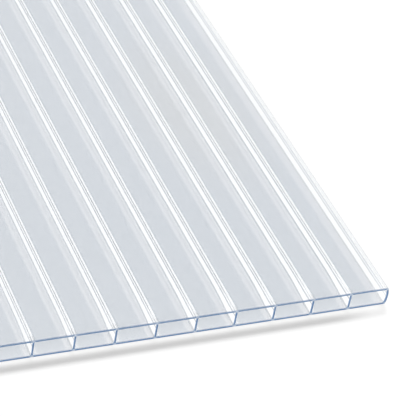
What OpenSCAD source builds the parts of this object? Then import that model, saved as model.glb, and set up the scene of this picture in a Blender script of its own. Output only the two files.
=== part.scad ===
// Clear twin-wall glazing sheet, extruded in one piece: two flat skins joined by
// upright ribs, with a bowed wall along each long edge. It lies flat, ribs along Y,
// with the origin under its middle.

/* [Sheet] */
// Width across the ribs, from the crown of one edge wall to the other
sheet_w = 980; // [600:10:1250]
// Length along the ribs, from cut to cut
sheet_l = 2000; // [500:50:6000]
// Thickness over both skins
sheet_t = 16; // [10:0.5:25]

/* [Walls] */
// Thickness of the lower and upper skins
skin_t = 1.3; // [0.6:0.1:2]
// Thickness of each rib
rib_t = 1.2; // [0.5:0.1:2]
// Thickness of the wall that closes each long edge
edge_t = 1.5; // [0.8:0.1:2.5]
// How far that wall bows out at half height
edge_bow = 1.2; // [0.4:0.1:2]

/* [Chambers] */
// Number of chambers side by side
chamber_n = 30; // [12:1:40]
// Radius of the fillet where a wall runs into a skin
fillet_r = 0.8; // [0.2:0.1:1.5]
// Radius of the outer corners along the long edges
corner_r = 0.5; // [0.2:0.1:1]

/* [Hidden] */

// Chords in a quarter turn of a fillet, and in the bowed stretch of an edge wall
fillet_chords = 4;
bow_chords = 12;

// The skins end at two corners, and the edge walls bow out between them
skin_w = sheet_w - 2 * edge_bow;
pitch = skin_w / chamber_n;
chamber_h = sheet_t - 2 * skin_t;

// Circle through both corners of one edge wall and its crown
bow_r = (pow(sheet_t / 2, 2) + pow(edge_bow, 2)) / (2 * edge_bow);
bow_x = sheet_w / 2 - bow_r;

// Points of an arc of radius r about (x, z), from angle a0 to a1
function arc(x, z, r, a0, a1, chords) =
    [for (i = [0:chords]) let (a = a0 + (a1 - a0) * i / chords) [x + r * cos(a), z + r * sin(a)]];

// How far right of the bow's centre a corner of radius r lies, under a bow of radius big_r
function corner_x(big_r, h, r) = sqrt(pow(big_r - r, 2) - pow(h / 2 - r, 2));

// The angle at which that corner runs into the bow
function corner_a(big_r, h, r) = asin((h / 2 - r) / (big_r - r));

// The points of an arc without its two ends, which the arcs beside it already hold
function without_ends(points) = [for (i = [1:len(points) - 2]) points[i]];

// A right-hand side that bows out: lower corner, bow, upper corner
function bowed_side(big_r, h, r) =
    let (x = bow_x + corner_x(big_r, h, r), z = h / 2 - r, a = corner_a(big_r, h, r))
    concat(arc(x, -z, r, -90, -a, fillet_chords),
           without_ends(arc(bow_x, 0, big_r, -a, a, bow_chords)),
           arc(x, z, r, a, 90, fillet_chords));

// A right-hand side that stands upright at x: lower fillet, upper fillet
function upright_side(x, h, r) =
    concat(arc(x - r, r - h / 2, r, -90, 0, fillet_chords),
           arc(x - r, h / 2 - r, r, 0, 90, fillet_chords));

// The same side on the left, with its points in the order that closes an outline
function mirrored(side) = [for (i = [len(side) - 1:-1:0]) [-side[i].x, side[i].y]];

// Everything inside the outer faces
module sheet_outline() {
    side = bowed_side(bow_r, sheet_t, corner_r);
    polygon(concat(side, mirrored(side)));
}

// Chamber i, counted from the left-hand edge
module chamber_outline(i) {
    left_x = (i - chamber_n / 2) * pitch + rib_t / 2;
    right_x = left_x + pitch - rib_t;
    left = i == 0 ? mirrored(bowed_side(bow_r - edge_t, chamber_h, fillet_r))
                  : mirrored(upright_side(-left_x, chamber_h, fillet_r));
    right = i == chamber_n - 1 ? bowed_side(bow_r - edge_t, chamber_h, fillet_r)
                               : upright_side(right_x, chamber_h, fillet_r);
    polygon(concat(right, left));
}

module twinwall_sheet() {
    color([0.84, 0.87, 0.92])
        translate([0, sheet_l / 2, sheet_t / 2])
            rotate([90, 0, 0])
                linear_extrude(height = sheet_l)
                    difference() {
                        sheet_outline();
                        for (i = [0:chamber_n - 1]) chamber_outline(i);
                    }
}

twinwall_sheet();
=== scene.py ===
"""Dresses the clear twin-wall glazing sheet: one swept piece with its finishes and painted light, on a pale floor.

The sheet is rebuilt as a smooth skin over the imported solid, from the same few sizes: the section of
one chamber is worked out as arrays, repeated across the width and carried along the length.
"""

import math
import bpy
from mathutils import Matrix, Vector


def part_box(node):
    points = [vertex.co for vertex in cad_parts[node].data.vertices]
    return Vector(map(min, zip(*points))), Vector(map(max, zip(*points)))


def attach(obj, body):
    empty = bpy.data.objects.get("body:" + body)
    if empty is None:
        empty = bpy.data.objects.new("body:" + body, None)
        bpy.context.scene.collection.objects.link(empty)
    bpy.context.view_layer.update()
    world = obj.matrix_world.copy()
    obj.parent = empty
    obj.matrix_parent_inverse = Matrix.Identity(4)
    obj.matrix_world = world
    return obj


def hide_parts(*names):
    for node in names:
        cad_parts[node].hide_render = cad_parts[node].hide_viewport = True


bl_info = {
    "name": "Twin-wall glazing sheet",
    "version": (1, 0, 0),
    "blender": (4, 5, 0),
    "location": "3D View > Sidebar > Glazing",
    "description": "Builds a clear twin-wall sheet with ribs, bowed edge walls and sawn ends",
    "category": "Add Mesh",
}

import bpy
import numpy as np
from mathutils import Matrix, Vector

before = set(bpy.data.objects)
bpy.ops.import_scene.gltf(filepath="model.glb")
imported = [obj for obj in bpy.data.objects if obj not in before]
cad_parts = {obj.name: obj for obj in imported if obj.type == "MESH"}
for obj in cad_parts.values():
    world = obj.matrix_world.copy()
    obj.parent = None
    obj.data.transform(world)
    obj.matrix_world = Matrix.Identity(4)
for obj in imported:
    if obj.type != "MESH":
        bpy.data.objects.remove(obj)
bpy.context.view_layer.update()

NODE = "twinwall_sheet"
node_low, node_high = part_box(NODE)
node_size = node_high - node_low

# Order of the piece's materials
UPPER, LOWER, RIB, EDGE, OUTER, SAWN = range(6)


class SheetSizes(bpy.types.PropertyGroup):
    """Sizes of the section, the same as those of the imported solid."""

    chambers: bpy.props.IntProperty(
        name="Chambers", description="Number of chambers side by side", default=30, min=2)
    skin: bpy.props.FloatProperty(
        name="Skin", description="Thickness of each skin", default=0.0013, precision=4, unit="LENGTH")
    rib: bpy.props.FloatProperty(
        name="Rib", description="Thickness of each rib", default=0.0012, precision=4, unit="LENGTH")
    edge: bpy.props.FloatProperty(
        name="Edge wall", description="Thickness of the wall along each long edge",
        default=0.0015, precision=4, unit="LENGTH")
    bow: bpy.props.FloatProperty(
        name="Bow", description="How far the edge wall bows out", default=0.0012, precision=4, unit="LENGTH")
    fillet: bpy.props.FloatProperty(
        name="Fillet", description="Radius where a wall runs into a skin",
        default=0.0008, precision=4, unit="LENGTH")
    corner: bpy.props.FloatProperty(
        name="Corner", description="Radius of the outer corners", default=0.0005, precision=4, unit="LENGTH")


class SheetFinishAndLight(bpy.types.PropertyGroup):
    """Colours and clearness of the plastic, and the colours of the light painted on it."""

    skin_colour: bpy.props.FloatVectorProperty(
        name="Skin colour", description="Colour of what the skins hold back", subtype="COLOR",
        default=(0.288, 0.398, 0.532))
    # Colour of the painted reflection of a rib in the lower skin beside it
    rib_reflection_colour: bpy.props.FloatVectorProperty(
        name="Glow colour", description="Colour of the lower skin beside a rib, which lights it up", subtype="COLOR",
        default=(0.88, 0.92, 1.0))
    warm_colour: bpy.props.FloatVectorProperty(
        name="Warm colour", description="Colour of a faint warmer cloud in the lower skin", subtype="COLOR",
        default=(0.32, 0.385, 0.45))
    upper_haze: bpy.props.FloatProperty(
        name="Upper haze", description="Share that each face of the upper skin hides", default=0.03,
        subtype="FACTOR", min=0, max=1)
    lower_haze: bpy.props.FloatProperty(
        name="Lower haze", description="Share that each face of the lower skin hides", default=0.20,
        subtype="FACTOR", min=0, max=1)
    # The bright rib faces are painted light, a white that stands in for the bright surroundings seen in the clear
    # ribs
    rib_painted_light_colour: bpy.props.FloatVectorProperty(
        name="Rib colour", description="Colour of the bright rib faces", subtype="COLOR",
        default=(0.97, 0.98, 0.99))
    rib_cover: bpy.props.FloatProperty(
        name="Rib cover", description="Share that a rib face hides", default=0.9, subtype="FACTOR", min=0, max=1)
    # Colour of the painted reflection lines along the ribs and edge walls
    reflection_line_colour: bpy.props.FloatVectorProperty(
        name="Line colour", description="Colour of the fine lines along the ribs", subtype="COLOR",
        default=(0.22, 0.25, 0.28))
    # The blue of the sawn ends is painted light, gathered in the cut walls
    sawn_colour: bpy.props.FloatVectorProperty(
        name="Sawn colour", description="Colour of the sawn ends", subtype="COLOR", default=(0.10, 0.21, 0.40))


class StageSettings(bpy.types.PropertyGroup):
    """Light shares and the camera. The shares add up to the light on the floor."""

    key_share: bpy.props.FloatProperty(
        name="Key light", description="Share of the floor's light that comes from behind", default=0.62)
    fill_share: bpy.props.FloatProperty(
        name="Fill light", description="Share of the floor's light from each low side lamp", default=0.12)
    sky_share: bpy.props.FloatProperty(
        name="Sky", description="Share of the floor's light from all round", default=0.25)
    camera_place: bpy.props.FloatVectorProperty(
        name="Camera", description="Where the camera stands", subtype="XYZ", unit="LENGTH",
        default=(-0.2287, -2.0080, 0.9963))
    camera_turn: bpy.props.FloatProperty(
        name="Turn", description="How far the camera looks to the right of the ribs", subtype="ANGLE",
        default=math.radians(28.41))
    camera_dip: bpy.props.FloatProperty(
        name="Dip", description="How far the camera looks down", subtype="ANGLE", default=math.radians(37.32))
    camera_roll: bpy.props.FloatProperty(
        name="Roll", description="How far the camera is tipped", subtype="ANGLE", default=math.radians(10.95))
    camera_lens: bpy.props.FloatProperty(
        name="Lens", description="Focal length on a 36 mm sensor", default=172.9)


class Field:
    """A socket of a shader tree that Python's operators work on, each by one Math node."""

    def __init__(self, tree, socket):
        self.tree = tree
        self.socket = socket

    def maths(self, operation, *values):
        return make_node(self.tree, "ShaderNodeMath", {"operation": operation}, dict(enumerate(values)))

    def __add__(self, other):
        return self.maths("ADD", self, other)

    __radd__ = __add__

    def __sub__(self, other):
        return self.maths("SUBTRACT", self, other)

    def __rsub__(self, other):
        return self.maths("SUBTRACT", other, self)

    def __mul__(self, other):
        return self.maths("MULTIPLY", self, other)

    __rmul__ = __mul__

    def __truediv__(self, other):
        return self.maths("DIVIDE", self, other)

    def __pow__(self, other):
        return self.maths("POWER", self, other)

    def __abs__(self):
        return self.maths("ABSOLUTE", self)

    def fract(self):
        return self.maths("FRACT", self)

    def at_most(self, other):
        return self.maths("MINIMUM", self, other)

    def at_least(self, other):
        return self.maths("MAXIMUM", self, other)

    def rises(self, low, high):
        """0 below low, 1 above high and a smooth climb between them."""
        return make_node(
            self.tree, "ShaderNodeMapRange", {"interpolation_type": "SMOOTHSTEP"},
            {"Value": self, "From Min": low, "From Max": high, "To Min": 0.0, "To Max": 1.0})

    def line(self, middle, half_width):
        """1 on a line at middle, fading to 0 at half_width to each side of it."""
        return 1 - abs(self - middle).rises(0.35 * half_width, half_width)


def make_node(tree, kind, settings=None, inputs=None, output=0):
    """Adds a node, sets it up, then fills its sockets with values or with other fields."""
    node = tree.nodes.new(kind)
    for name, value in (settings or {}).items():
        setattr(node, name, value)
    for name, value in (inputs or {}).items():
        if isinstance(value, Field):
            tree.links.new(value.socket, node.inputs[name])
        else:
            node.inputs[name].default_value = value
    return Field(tree, node.outputs[output])


def mix_colours(tree, share, first, second):
    """Colour between first and second by share."""
    inputs = {"Factor": share, "A": first, "B": second}
    node = tree.nodes.new("ShaderNodeMix")
    node.data_type = "RGBA"
    sockets = {"Factor": 0, "A": 6, "B": 7}
    for name, value in inputs.items():
        if isinstance(value, Field):
            tree.links.new(value.socket, node.inputs[sockets[name]])
        else:
            node.inputs[sockets[name]].default_value = value
    return Field(tree, node.outputs[2])


def new_material(name):
    """An empty node material and its tree."""
    material = bpy.data.materials.new(name)
    material.use_nodes = True
    material.node_tree.nodes.clear()
    return material, material.node_tree


def show(tree, shader, output="ShaderNodeOutputMaterial"):
    """Makes the shader the one that the tree shows."""
    tree.links.new(shader.socket, tree.nodes.new(output).inputs["Surface"])


def object_place(tree):
    """The X, Y and Z of a point of the sheet, in metres."""
    place = make_node(tree, "ShaderNodeTexCoord", output="Object")
    return place, [make_node(tree, "ShaderNodeSeparateXYZ", None, {0: place}, axis) for axis in "XYZ"]


def light_path(tree, output):
    """What the Light Path node says of the ray."""
    return make_node(tree, "ShaderNodeLightPath", output=output)


def rgba(colour, level=1.0):
    return (*[level * c for c in colour], 1.0)


def lets_through(tree, share):
    """Passes that share of the light, unbent."""
    return make_node(tree, "ShaderNodeBsdfTransparent", None, {"Color": rgba((1, 1, 1), share)})


def clear_plastic(tree, colour, cover, roughness, passing, normal=None, shine=1.0):
    """Clear plastic wall: it hides what lies behind by cover and mirrors more at a slant.

    The mirrored share is 0.025 + 0.5 (1 - cosine)^5. Light on its way to a matt surface goes by passing instead,
    because a solid wall in its place would throw the shadow of an opaque thing.
    """
    extra = {"Normal": normal} if normal else {}
    body = make_node(
        tree, "ShaderNodeBsdfPrincipled", None,
        {"Base Color": colour, "Alpha": cover, "Roughness": roughness, "IOR": 1.58, **extra})
    mirror = make_node(tree, "ShaderNodeBsdfGlossy", None, {"Color": rgba((1, 1, 1)), "Roughness": 0.06, **extra})
    facing = make_node(tree, "ShaderNodeLayerWeight", None, {"Blend": 0.5}, "Facing")
    mirrored = (0.025 + 0.5 * facing ** 5) * shine
    seen = make_node(tree, "ShaderNodeMixShader", None, {0: mirrored, 1: body, 2: mirror})
    light_ray = light_path(tree, "Is Shadow Ray").at_least(light_path(tree, "Is Diffuse Ray"))
    return make_node(tree, "ShaderNodeMixShader", None, {0: light_ray, 1: seen, 2: passing})


def by_the_cut(tree, y, finish_and_light, colour, cover):
    """Colour and cover of a wall, blue in its last millimetre, where light gathered in the cut shows through."""
    cut = 1 - (node_size.y / 2 - abs(y)).rises(0.0005, 0.0013)
    return mix_colours(tree, cut, colour, rgba(finish_and_light.sawn_colour)), (cover * 1.0).at_least(0.6 * cut)


def past_rib(x, pitch, chambers):
    """Distance across the sheet from the nearest rib's middle, in metres, positive on its right."""
    return ((x / pitch + (chambers / 2 + 0.5)).fract() - 0.5) * pitch


def upper_skin_material(sizes, finish_and_light, pitch):
    """Upper skin: nearly clear, with faint lines drawn along it by the die and a painted shade line just right of
    each rib.
    """
    material, tree = new_material("upper_skin")
    place, (x, y, z) = object_place(tree)
    stretched = make_node(tree, "ShaderNodeVectorMath", {"operation": "MULTIPLY"}, {0: place, 1: (1, 0.01, 1)})
    drawn = make_node(tree, "ShaderNodeTexNoise", None, {"Vector": stretched, "Scale": 160.0, "Detail": 2.0})
    # Painted shade: rim is a faint darker line just right of each rib
    rim = past_rib(x, pitch, sizes.chambers).line(0.0017, 0.0011)
    slant = 3.0 * make_node(tree, "ShaderNodeLayerWeight", None, {"Blend": 0.5}, "Facing") ** 8
    cover = finish_and_light.upper_haze * (0.7 + 0.6 * drawn) + 0.05 * rim + slant.at_most(0.6)
    from_end = node_size.y / 2 - abs(y)
    open_side = abs(x).rises(node_size.x / 2 - 0.05, node_size.x / 2 - 0.005)
    outside = z.rises(node_size.z - 0.0009, node_size.z - 0.0005)
    near_end = (1 - from_end.rises(0.0068, 0.009)) * (1 - 0.7 * open_side) * outside
    beyond = make_node(
        tree, "ShaderNodeMixShader", None,
        {0: from_end.rises(0.017, 0.024), 1: lets_through(tree, 0.98), 2: lets_through(tree, 0.922)})
    passing = make_node(
        tree, "ShaderNodeMixShader", None, {0: near_end, 1: beyond, 2: lets_through(tree, 0.37)})
    colour, cover = by_the_cut(tree, y, finish_and_light, rgba(finish_and_light.skin_colour), cover)
    shader = clear_plastic(tree, colour, cover, 0.15, passing)
    show(tree, shader)
    return material


def lower_skin_material(sizes, finish_and_light, pitch):
    """Lower skin: blue-grey haze with a faint warmer cloud, paler beside each rib by a painted reflection of the
    rib, and with a painted gleam right of each rib at a sawn end.
    """
    material, tree = new_material("lower_skin")
    place, (x, y, z) = object_place(tree)
    past = past_rib(x, pitch, sizes.chambers)
    beside_edge = abs(x).rises(node_size.x / 2 - 0.018, node_size.x / 2 - 0.014)
    apart = abs(past) - 0.0025 * beside_edge
    # Painted reflection of each rib: a paler band beside it, with a brighter line at the band's edge
    rib_reflection_band = 1 - apart.rises(0.0042, 0.0056)
    # Painted gleam: a bright patch just right of each rib, widest at a sawn end
    painted_gleam = 1 - (past.at_least(0.0) + (node_size.y / 2 - abs(y))).rises(0.003, 0.006)
    painted_gleam = painted_gleam * past.rises(0.0003, 0.0006)
    reflection_edge_line = apart.line(0.0043, 0.0013)
    pale = (rib_reflection_band * 0.54 + reflection_edge_line * 0.24).at_least(painted_gleam)
    from_cloud = (((x - 0.43) / 0.06) ** 2 + ((y + 0.72) / 0.12) ** 2) ** 0.5
    warm = 1 - from_cloud.rises(0.2, 1.3)
    colour = mix_colours(tree, warm, rgba(finish_and_light.skin_colour), rgba(finish_and_light.warm_colour))
    colour = mix_colours(tree, pale, colour, rgba(finish_and_light.rib_reflection_colour))
    cloud = make_node(tree, "ShaderNodeTexNoise", None, {"Vector": place, "Scale": 3.0, "Detail": 1.0})
    cover = finish_and_light.lower_haze * (0.9 + 0.2 * cloud) + 0.5 * painted_gleam
    colour, cover = by_the_cut(tree, y, finish_and_light, colour, cover)
    shader = clear_plastic(tree, colour, cover, 0.2, lets_through(tree, 0.97))
    show(tree, shader)
    return material


def painted_reflection_lines(height, lines):
    """Painted reflection lines along a wall: each has a height and a half width, as shares of the thickness, and a
    depth.
    """
    return sum((height.line(middle, half) * depth for middle, half, depth in lines), start=0.0)


def wall_material(name, sizes, finish_and_light, pitch, tall, left_lines, right_lines, foot, passes):
    """Ribs and edge walls: clear up to the foot height and above it painted light, a bright white standing in for
    the bright surroundings seen in the clear wall, with fine painted reflection lines along them.
    """
    material, tree = new_material(name)
    place, (x, y, z) = object_place(tree)
    near_end = 1 - (node_size.y / 2 - abs(y)).rises(0.0, 0.045)
    closing = max(0.0, foot - sizes.skin / tall) / (1 - sizes.skin / tall)
    height = z / tall + closing * near_end * (1 - z / tall)
    right = past_rib(x, pitch, sizes.chambers).maths("GREATER_THAN", past_rib(x, pitch, sizes.chambers), 0.0)
    # grey is the share of the painted reflection lines
    grey = painted_reflection_lines(height, left_lines) * (1 - right) + painted_reflection_lines(height, right_lines) * right
    grey = grey * (1 - 0.3 * near_end)
    colour = mix_colours(tree, grey, rgba(finish_and_light.rib_painted_light_colour), rgba(finish_and_light.reflection_line_colour))
    # Painted light: the wall turns bright white above the foot height
    bright = height.rises(foot - 0.05, foot)
    cover = finish_and_light.rib_cover * bright + 0.12 * (1 - bright)
    colour = mix_colours(tree, bright, rgba(finish_and_light.skin_colour), colour)
    colour, cover = by_the_cut(tree, y, finish_and_light, colour, cover)
    shader = clear_plastic(tree, colour, cover, 0.3, lets_through(tree, passes), shine=0.05 + 0.45 * bright)
    show(tree, shader)
    return material


def outer_material(finish_and_light, tall):
    """Outside of the edge walls: tinted, and darker along both corners, where the skins end."""
    material, tree = new_material("outer_wall")
    place, (x, y, z) = object_place(tree)
    corner = abs(z / tall - 0.5).rises(0.36, 0.44)
    cover = 0.16 + 0.24 * corner
    colour, cover = by_the_cut(tree, y, finish_and_light, rgba((0.42, 0.47, 0.52)), cover)
    shader = clear_plastic(tree, colour, cover, 0.2, lets_through(tree, 0.9))
    show(tree, shader)
    return material


def sawn_material(sizes, finish_and_light, pitch, tall):
    """Sawn ends: blue where light gathers in the cut walls, paler where a rib meets a skin, with saw marks."""
    material, tree = new_material("sawn_end")
    place, (x, y, z) = object_place(tree)
    apart = abs(past_rib(x, pitch, sizes.chambers))
    near_rib = 1 - apart.rises(0.0006, 0.0022)
    near_skin = abs(z - tall / 2).rises(tall / 2 - 0.0024, tall / 2 - 0.0012)
    joint = near_rib * near_skin
    marks = make_node(tree, "ShaderNodeTexNoise", None, {"Vector": place, "Scale": 900.0, "Detail": 3.0})
    patches = make_node(tree, "ShaderNodeTexNoise", None, {"Vector": place, "Scale": 70.0, "Detail": 2.0})
    pale = (joint * 0.6 + (patches - 0.5) * 0.7).at_most(1.0)
    # Deeper painted blue low down on the end and in the middle of each rib's end
    deep = (near_rib * (1 - near_skin) * 0.9).at_least(1 - z.rises(0.2 * tall, 0.3 * tall))
    colour = mix_colours(tree, deep, rgba(finish_and_light.sawn_colour), rgba((0.03, 0.15, 0.37)))
    colour = mix_colours(tree, pale, colour, rgba((0.72, 0.80, 0.90)))
    bump = make_node(tree, "ShaderNodeBump", None, {"Strength": 0.3, "Distance": 0.0002, "Height": marks}, "Normal")
    shader = clear_plastic(tree, colour, 0.9, 0.45 + 0.2 * marks, lets_through(tree, 0.95), bump, shine=0.5)
    show(tree, shader)
    return material


# Points of a fillet, of a wall between its fillets, and the flat strip kept beside a fillet
FILLET_STEPS = 8
WALL_POINTS = 9
MARGIN = 0.0003


def arc(centre, radius, start, end, steps):
    """Points of a circular arc in the X, Z plane, both ends included."""
    turn = np.linspace(start, end, steps + 1)
    return np.stack([centre[0] + radius * np.cos(turn), centre[1] + radius * np.sin(turn)], axis=1)


def bow_arcs(radius, low, high, rounding, bow_x):
    """A wall that bows out between heights low and high: lower rounding, bow and upper rounding.

    The rounding circles touch the bow's circle from inside, so their centres lie radius - rounding from its centre.
    """
    middle = (low + high) / 2
    rise = (high - low) / 2 - rounding
    reach = math.sqrt((radius - rounding) ** 2 - rise ** 2)
    slant = math.asin(rise / (radius - rounding))
    lower = arc((bow_x + reach, middle - rise), rounding, -math.pi / 2, -slant, FILLET_STEPS)
    bow = arc((bow_x, middle), radius, -slant, slant, WALL_POINTS + 1)[1:-1]
    upper = arc((bow_x + reach, middle + rise), rounding, slant, math.pi / 2, FILLET_STEPS)
    return np.concatenate([lower, bow, upper])


def upright_arcs(x, low, high, rounding):
    """An upright wall at x between two fillets."""
    lower = arc((x - rounding, low + rounding), rounding, -math.pi / 2, 0, FILLET_STEPS)
    heights = np.linspace(low + rounding + MARGIN, high - rounding - MARGIN, WALL_POINTS)
    wall = np.stack([np.full(WALL_POINTS, x), heights], axis=1)
    upper = arc((x - rounding, high - rounding), rounding, 0, math.pi / 2, FILLET_STEPS)
    return np.concatenate([lower, wall, upper])


def with_flats(wall, low, high):
    """The wall's points led in along the floor and led out along the roof, from the chamber's middle and back."""
    beside = wall[0, 0] - MARGIN
    return np.concatenate([[(0, low), (beside, low)], wall, [(beside, high), (0, high)]])


def half_cell(sizes, pitch, tall, bowed):
    """Right half of a chamber's rim and, point for point, of the plastic's outer rim around it.

    Beside a rib the outer rim is the rib's middle plane: each point is the inner one moved straight out,
    and the middle point of a fillet goes to the corner.
    """
    low, high = sizes.skin, tall - sizes.skin
    half = pitch / 2
    if bowed:
        radius = ((tall / 2) ** 2 + sizes.bow ** 2) / (2 * sizes.bow)
        bow_x = half + sizes.bow - radius
        inner = with_flats(bow_arcs(radius - sizes.edge, low, high, sizes.fillet, bow_x), low, high)
        outer = with_flats(bow_arcs(radius, 0.0, tall, sizes.corner, bow_x), 0.0, tall)
        outer[[1, -2], 0] = inner[1, 0]
        return inner, outer
    inner = with_flats(upright_arcs(half - sizes.rib / 2, low, high, sizes.fillet), low, high)
    outer = inner.copy()
    turn = 2 + FILLET_STEPS // 2
    outer[:turn + 1, 1] = 0.0
    outer[-turn - 1:, 1] = tall
    outer[turn:len(outer) - turn, 0] = half
    return inner, outer


def ring(right, left):
    """A closed rim, counter-clockwise seen from the front: the right half, then the left half mirrored."""
    return np.concatenate([right[:-1], left[::-1][:-1] * (-1, 1)])


def sheet_arrays(sizes, low, high):
    """Vertices, quads and material numbers of the whole sheet.

    Each chamber has an inner and an outer rim. The front and back ends are quads between the rims, the
    chamber's walls are its inner rim carried from front to back, and the faces outside are the outer rim
    carried the same way, where it isn't a rib's middle plane.
    """
    count = sizes.chambers
    tall = high.z - low.z
    pitch = (high.x - low.x - 2 * sizes.bow) / count
    halves = {bowed: half_cell(sizes, pitch, tall, bowed) for bowed in (False, True)}
    rims = np.stack([
        [ring(halves[cell == count - 1][k], halves[cell == 0][k]) for cell in range(count)] for k in (0, 1)])
    rims[..., 0] += ((np.arange(count) + 0.5 - count / 2) * pitch)[:, None] + (low.x + high.x) / 2
    rims[..., 1] += low.z
    points = rims.shape[2]

    # Vertex numbers: [rim, chamber, point, end]
    number = np.arange(2 * count * points * 2).reshape(2, count, points, 2)
    flat = np.repeat(rims[:, :, :, None, :], 2, axis=3)
    along = np.broadcast_to(np.array([low.y, high.y]), flat.shape[:-1])
    vertices = np.stack([flat[..., 0], along, flat[..., 1]], axis=-1).reshape(-1, 3)
    after = np.roll(number, -1, axis=2)
    inner, outer, inner_next, outer_next = number[0], number[1], after[0], after[1]

    half_points = points // 2
    step = np.arange(points) % half_points
    mirrored = np.arange(points) >= half_points
    step = np.where(mirrored, half_points - 1 - step, step)
    is_floor = step < 2
    is_roof = step >= half_points - 2
    chamber = np.arange(count)[:, None]
    beside_edge = np.where(mirrored[None], chamber == 0, chamber == count - 1)
    wall_slot = np.where(beside_edge, EDGE, RIB)
    inner_slot = np.where(is_floor[None], LOWER, np.where(is_roof[None], UPPER, wall_slot))

    turn = 2 + FILLET_STEPS // 2
    open_low = (step < turn)[None] | beside_edge
    open_high = (step >= half_points - turn)[None] | beside_edge
    outside = open_low | open_high
    outer_slot = np.where((step < half_points / 2)[None], LOWER, UPPER)
    outer_slot = np.where(beside_edge & ~is_floor & ~is_roof, OUTER, outer_slot)

    front = np.stack([outer[..., 0], outer_next[..., 0], inner_next[..., 0], inner[..., 0]], axis=-1)
    back = np.stack([inner[..., 1], inner_next[..., 1], outer_next[..., 1], outer[..., 1]], axis=-1)
    inside = np.stack([inner[..., 0], inner_next[..., 0], inner_next[..., 1], inner[..., 1]], axis=-1)
    outward = np.stack([outer[..., 0], outer[..., 1], outer_next[..., 1], outer_next[..., 0]], axis=-1)[outside]
    quads = np.concatenate([front.reshape(-1, 4), back.reshape(-1, 4), inside.reshape(-1, 4), outward])
    sawn = np.full(2 * count * points, SAWN)
    slots = np.concatenate([sawn, inner_slot.reshape(-1), outer_slot[outside]])

    # Points that two chambers share become one
    welded, back_to = np.unique(np.round(vertices, 7), axis=0, return_inverse=True)
    quads = back_to.reshape(-1)[quads]
    used, renumbered = np.unique(quads, return_inverse=True)
    return welded[used], renumbered.reshape(-1, 4), slots


def build_mesh(name, vertices, quads, slots, materials):
    """A smooth-shaded mesh object at the origin, with sharp edges past 30 degrees."""
    mesh = bpy.data.meshes.new(name)
    mesh.from_pydata(vertices, [], quads)
    for material in materials:
        mesh.materials.append(material)
    mesh.polygons.foreach_set("material_index", slots.astype(np.int32))
    mesh.polygons.foreach_set("use_smooth", np.ones(len(quads), bool))
    mesh.set_sharp_from_angle(angle=math.radians(30))
    mesh.update()
    piece = bpy.data.objects.new(name, mesh)
    bpy.context.scene.collection.objects.link(piece)
    return piece


class GLAZING_OT_sheet(bpy.types.Operator):
    """Build the twin-wall sheet over its solid"""

    bl_idname = "glazing.sheet"
    bl_label = "Twin-wall sheet"

    def execute(self, context):
        sizes = context.scene.sheet_sizes
        finish_and_light = context.scene.sheet_finish
        tall = node_size.z
        pitch = (node_size.x - 2 * sizes.bow) / sizes.chambers
        # Painted reflection lines on the ribs' left and right faces and on the edge walls: height, half width and
        # depth
        left_lines = [(0.27, 0.075, 0.75), (0.725, 0.065, 0.9)]
        right_lines = [(0.79, 0.055, 1.0), (0.975, 0.05, 0.7)]
        edge_lines = [(0.08, 0.06, 0.55), (0.49, 0.06, 0.7), (0.67, 0.06, 0.8)]
        materials = [
            upper_skin_material(sizes, finish_and_light, pitch),
            lower_skin_material(sizes, finish_and_light, pitch),
            wall_material("rib_wall", sizes, finish_and_light, pitch, tall, left_lines, right_lines, foot=0.26, passes=0.96),
            wall_material("edge_wall", sizes, finish_and_light, pitch, tall, edge_lines, [], foot=0.08, passes=0.9),
            outer_material(finish_and_light, tall),
            sawn_material(sizes, finish_and_light, pitch, tall),
        ]
        vertices, quads, slots = sheet_arrays(sizes, node_low, node_high)
        piece = build_mesh("clear_sheet", vertices, quads, slots, materials)
        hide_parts(NODE)
        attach(piece, "root")
        return {"FINISHED"}


def sun(name, share, azimuth, elevation, softness, shadow=True):
    """A far lamp seen at that azimuth (0 is +Y, 90 is +X) and elevation. Its strength gives a white floor that share."""
    lamp = bpy.data.lights.new(name, "SUN")
    lamp.energy = share * math.pi / math.sin(math.radians(elevation))
    lamp.angle = math.radians(softness)
    lamp.use_shadow = shadow
    thing = bpy.data.objects.new(name, lamp)
    turn, rise = math.radians(azimuth), math.radians(elevation)
    towards = Vector((math.sin(turn) * math.cos(rise), math.cos(turn) * math.cos(rise), math.sin(rise)))
    thing.rotation_euler = towards.to_track_quat("Z", "Y").to_euler()
    thing.visible_glossy = False
    bpy.context.scene.collection.objects.link(thing)


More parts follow.
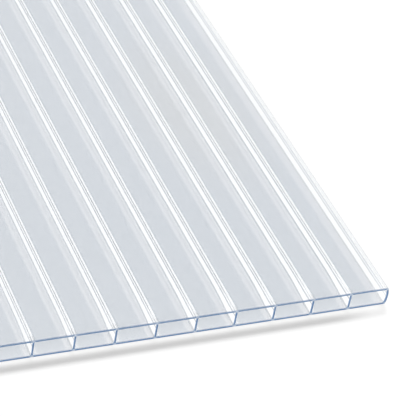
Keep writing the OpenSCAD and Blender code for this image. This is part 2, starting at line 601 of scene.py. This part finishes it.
class GLAZING_OT_stage(bpy.types.Operator):
    """Lay the pale floor, set the lamps and place the camera"""

    bl_idname = "glazing.stage"
    bl_label = "Stage"

    def execute(self, context):
        settings = context.scene.stage_settings
        self.lay_floor()
        self.fill_sky(context, settings)
        sun("key_lamp", settings.key_share, azimuth=20, elevation=50.5, softness=14)
        sun("left_lamp", settings.fill_share, azimuth=-105, elevation=10, softness=20, shadow=False)
        sun("right_lamp", 0.4 * settings.fill_share, azimuth=105, elevation=10, softness=20, shadow=False)
        self.place_camera(context, settings)
        return {"FINISHED"}

    def lay_floor(self):
        half, drop = 30.0, 0.0002
        corners = [(-half, -half, -drop), (half, -half, -drop), (half, half, -drop), (-half, half, -drop)]
        mesh = bpy.data.meshes.new("floor")
        mesh.from_pydata(corners, [], [(0, 1, 2, 3)])
        material, tree = new_material("floor_white")
        shader = make_node(
            tree, "ShaderNodeBsdfDiffuse", None, {"Color": rgba((1, 1, 1))})
        show(tree, shader)
        mesh.materials.append(material)
        floor = bpy.data.objects.new("floor", mesh)
        bpy.context.scene.collection.objects.link(floor)

    def fill_sky(self, context, settings):
        """White for eyes, mirrors and clear walls, and a low even light for everything else.

        A ray that left the floor and then met a mirroring wall counts as light on the floor, not as a view.
        """
        world = bpy.data.worlds.new("sky")
        context.scene.world = world
        world.use_nodes = True
        tree = world.node_tree
        tree.nodes.clear()
        seen = light_path(tree, "Is Camera Ray")
        for ray in ("Is Glossy Ray", "Is Transmission Ray"):
            seen = seen.at_least(light_path(tree, ray))
        from_matt = light_path(tree, "Diffuse Depth").at_most(1.0)
        strength = settings.sky_share + (1 - settings.sky_share) * seen * (1 - from_matt)
        sky = make_node(tree, "ShaderNodeBackground", None, {"Color": rgba((1, 1, 1)), "Strength": strength})
        show(tree, sky, "ShaderNodeOutputWorld")
        context.scene.cycles.transparent_max_bounces = 48
        context.scene.view_settings.view_transform = "Standard"

    def place_camera(self, context, settings):
        lens = bpy.data.cameras.new("camera")
        lens.sensor_width = 36.0
        lens.lens = settings.camera_lens
        lens.clip_end = 100.0
        camera = bpy.data.objects.new("camera", lens)
        turned = (
            Matrix.Rotation(-settings.camera_turn, 4, "Z")
            @ Matrix.Rotation(math.pi / 2 - settings.camera_dip, 4, "X")
            @ Matrix.Rotation(settings.camera_roll, 4, "Z"))
        camera.matrix_world = Matrix.Translation(settings.camera_place) @ turned
        context.scene.collection.objects.link(camera)
        context.scene.camera = camera


class GLAZING_PT_panel(bpy.types.Panel):
    """Lists the sheet's operators in the sidebar"""

    bl_idname = "GLAZING_PT_panel"
    bl_label = "Glazing sheet"
    bl_space_type = "VIEW_3D"
    bl_region_type = "UI"
    bl_category = "Glazing"

    def draw(self, context):
        for operator in OPERATORS:
            self.layout.operator(operator.bl_idname)
        for group in (context.scene.sheet_sizes, context.scene.sheet_finish, context.scene.stage_settings):
            for name in group.__annotations__:
                self.layout.prop(group, name)


GROUPS = {"sheet_sizes": SheetSizes, "sheet_finish": SheetFinishAndLight, "stage_settings": StageSettings}
OPERATORS = [GLAZING_OT_sheet, GLAZING_OT_stage]


def register():
    for item in [*GROUPS.values(), *OPERATORS, GLAZING_PT_panel]:
        bpy.utils.register_class(item)
    for name, group in GROUPS.items():
        setattr(bpy.types.Scene, name, bpy.props.PointerProperty(type=group))


def unregister():
    for name in GROUPS:
        delattr(bpy.types.Scene, name)
    for item in reversed([*GROUPS.values(), *OPERATORS, GLAZING_PT_panel]):
        bpy.utils.unregister_class(item)


def main():
    register()
    bpy.ops.glazing.sheet()
    bpy.ops.glazing.stage()


if __name__ == "__main__":
    main()
